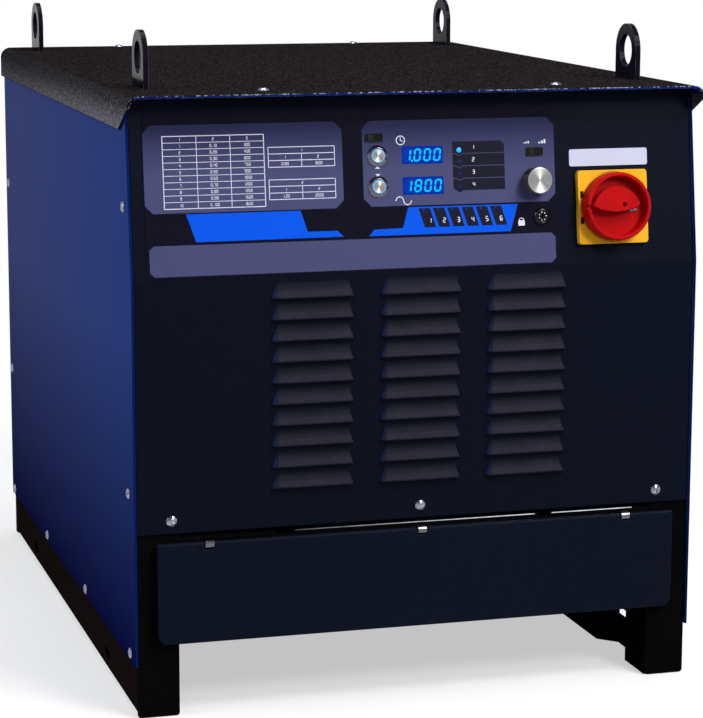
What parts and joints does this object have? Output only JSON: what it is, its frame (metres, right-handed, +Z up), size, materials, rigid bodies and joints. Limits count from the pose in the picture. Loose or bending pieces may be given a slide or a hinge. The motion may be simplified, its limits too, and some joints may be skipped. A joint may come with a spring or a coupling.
{
  "type": "stud welder power source",
  "caption": "Floor-standing stud welder cabinet on runners, with lifting eyes, a leaning control panel with displays, dial and isolator, a louvred front and a hinged cable flap.",
  "frame": {"origin": "middle of the bounding box on the floor", "axes": "+X to the right of an operator facing the control panel, +Y from the front to the back, +Z up"},
  "size_m": [0.687, 0.968, 0.779],
  "materials": {
    "gloss_black_paint": "gloss",
    "deck_paint": "satin",
    "blue_paint": "satin",
    "lid_paint": "fine texture",
    "panel_paint": "fine texture",
    "overlay_print": "printed film",
    "display_window": "gloss",
    "stainless": "brushed",
    "black_plastic": "moulded",
    "dark_metal": "blackened",
    "zinc": "zinc plated",
    "spun_aluminium": "spun",
    "plate_yellow": "moulded",
    "handle_red": "moulded",
    "core_steel": "laminated, varnished",
    "winding": "varnished copper",
    "bare_aluminium": "extruded",
    "circuit_board": "solder mask"
  },
  "bodies": {
    "cabinet": {"base_runner_left": "gloss_black_paint", "base_runner_right": "gloss_black_paint", "floor_deck": "deck_paint", "front_post_left": "gloss_black_paint", "front_post_right": "gloss_black_paint", "rear_post_left": "gloss_black_paint", "rear_post_right": "gloss_black_paint", "top_rail_left": "gloss_black_paint", "top_rail_right": "gloss_black_paint", "front_cross_member": "gloss_black_paint", "side_panel_left": "blue_paint", "side_panel_right": "blue_paint", "lid": "lid_paint", "front_panel": "panel_paint", "rear_panel": "panel_paint", "lifting_eye_front_left": "gloss_black_paint", "lifting_eye_front_right": "gloss_black_paint", "lifting_eye_rear_left": "gloss_black_paint", "lifting_eye_rear_right": "gloss_black_paint", "control_overlay": "overlay_print", "time_display": "display_window", "amps_display": "display_window", "time_button_bezel": "stainless", "amps_button_bezel": "stainless", "mode_switch_frame": "black_plastic", "range_switch_frame": "black_plastic", "key_lock_body": "dark_metal", "encoder_body": "dark_metal", "isolator_plate": "plate_yellow", "isolator_switch": "black_plastic", "flap_hinge_clips": "zinc", "flap_hinge_rod": "zinc", "connector_panel": "deck_paint", "weld_socket_gun": "black_plastic", "weld_socket_ground": "black_plastic", "control_socket": "dark_metal", "lid_screws": "zinc", "side_screws": "zinc", "panel_screws": "zinc", "transformer_core": "core_steel", "transformer_coils": "winding", "rectifier_heatsink": "bare_aluminium", "rectifier_modules": "black_plastic", "output_choke": "core_steel", "fan_frame": "deck_paint", "fan_motor": "dark_metal", "control_board": "circuit_board", "cable_gland": "black_plastic"},
    "isolator": {"isolator_handle": "handle_red", "isolator_shaft": "zinc"},
    "dial_push": {"encoder_push_plate": "zinc"},
    "dial": {"encoder_shaft": "zinc", "dial_knob": "spun_aluminium"},
    "time_button": {"time_button_cap": "stainless"},
    "amps_button": {"amps_button_cap": "stainless"},
    "mode_rocker": {"mode_switch_rocker": "black_plastic"},
    "range_rocker": {"range_switch_rocker": "black_plastic"},
    "key_barrel": {"key_lock_barrel": "zinc"},
    "flap": {"cable_flap": "panel_paint"},
    "fan": {"fan_rotor": "black_plastic"}
  },
  "joints": [
    {"name": "isolator_turn", "type": "hinge", "parent": "cabinet", "child": "isolator", "pos_m": [0.2342, -0.44998, 0.57239], "axis": [0, -0.9907, 0.1357], "range_deg": [-90, 0]},
    {"name": "dial_press", "type": "slide", "parent": "cabinet", "child": "dial_push", "axis": [0, 0.9907, -0.1357], "range_m": [0, 0.001], "stiffness_N_per_m": 2000},
    {"name": "dial_turn", "type": "hinge", "parent": "dial_push", "child": "dial", "pos_m": [0.1404, -0.4455, 0.60508], "axis": [0, -0.9907, 0.1357], "continuous": true},
    {"name": "time_button_press", "type": "slide", "parent": "cabinet", "child": "time_button", "axis": [0, 0.9907, -0.1357], "range_m": [0, 0.0016], "stiffness_N_per_m": 600},
    {"name": "amps_button_press", "type": "slide", "parent": "cabinet", "child": "amps_button", "axis": [0, 0.9907, -0.1357], "range_m": [0, 0.0016], "stiffness_N_per_m": 600},
    {"name": "mode_rocker_tip", "type": "hinge", "parent": "cabinet", "child": "mode_rocker", "pos_m": [-0.0524, -0.43661, 0.65888], "axis": [0, 0.1357, 0.9907], "range_deg": [0, 16]},
    {"name": "range_rocker_tip", "type": "hinge", "parent": "cabinet", "child": "range_rocker", "pos_m": [0.141, -0.4394, 0.63857], "axis": [0, 0.1357, 0.9907], "range_deg": [0, 16]},
    {"name": "key_lock_turn", "type": "hinge", "parent": "cabinet", "child": "key_barrel", "pos_m": [0.148, -0.45113, 0.56397], "axis": [0, -0.9907, 0.1357], "range_deg": [0, 90]},
    {"name": "flap_swing", "type": "hinge", "parent": "cabinet", "child": "flap", "pos_m": [0, -0.46493, 0.203], "axis": [-1, 0, 0], "range_deg": [0, 100]},
    {"name": "fan_spin", "type": "hinge", "parent": "cabinet", "child": "fan", "pos_m": [0, 0.34407, 0.285], "axis": [0, 1, 0], "continuous": true}
  ]
}
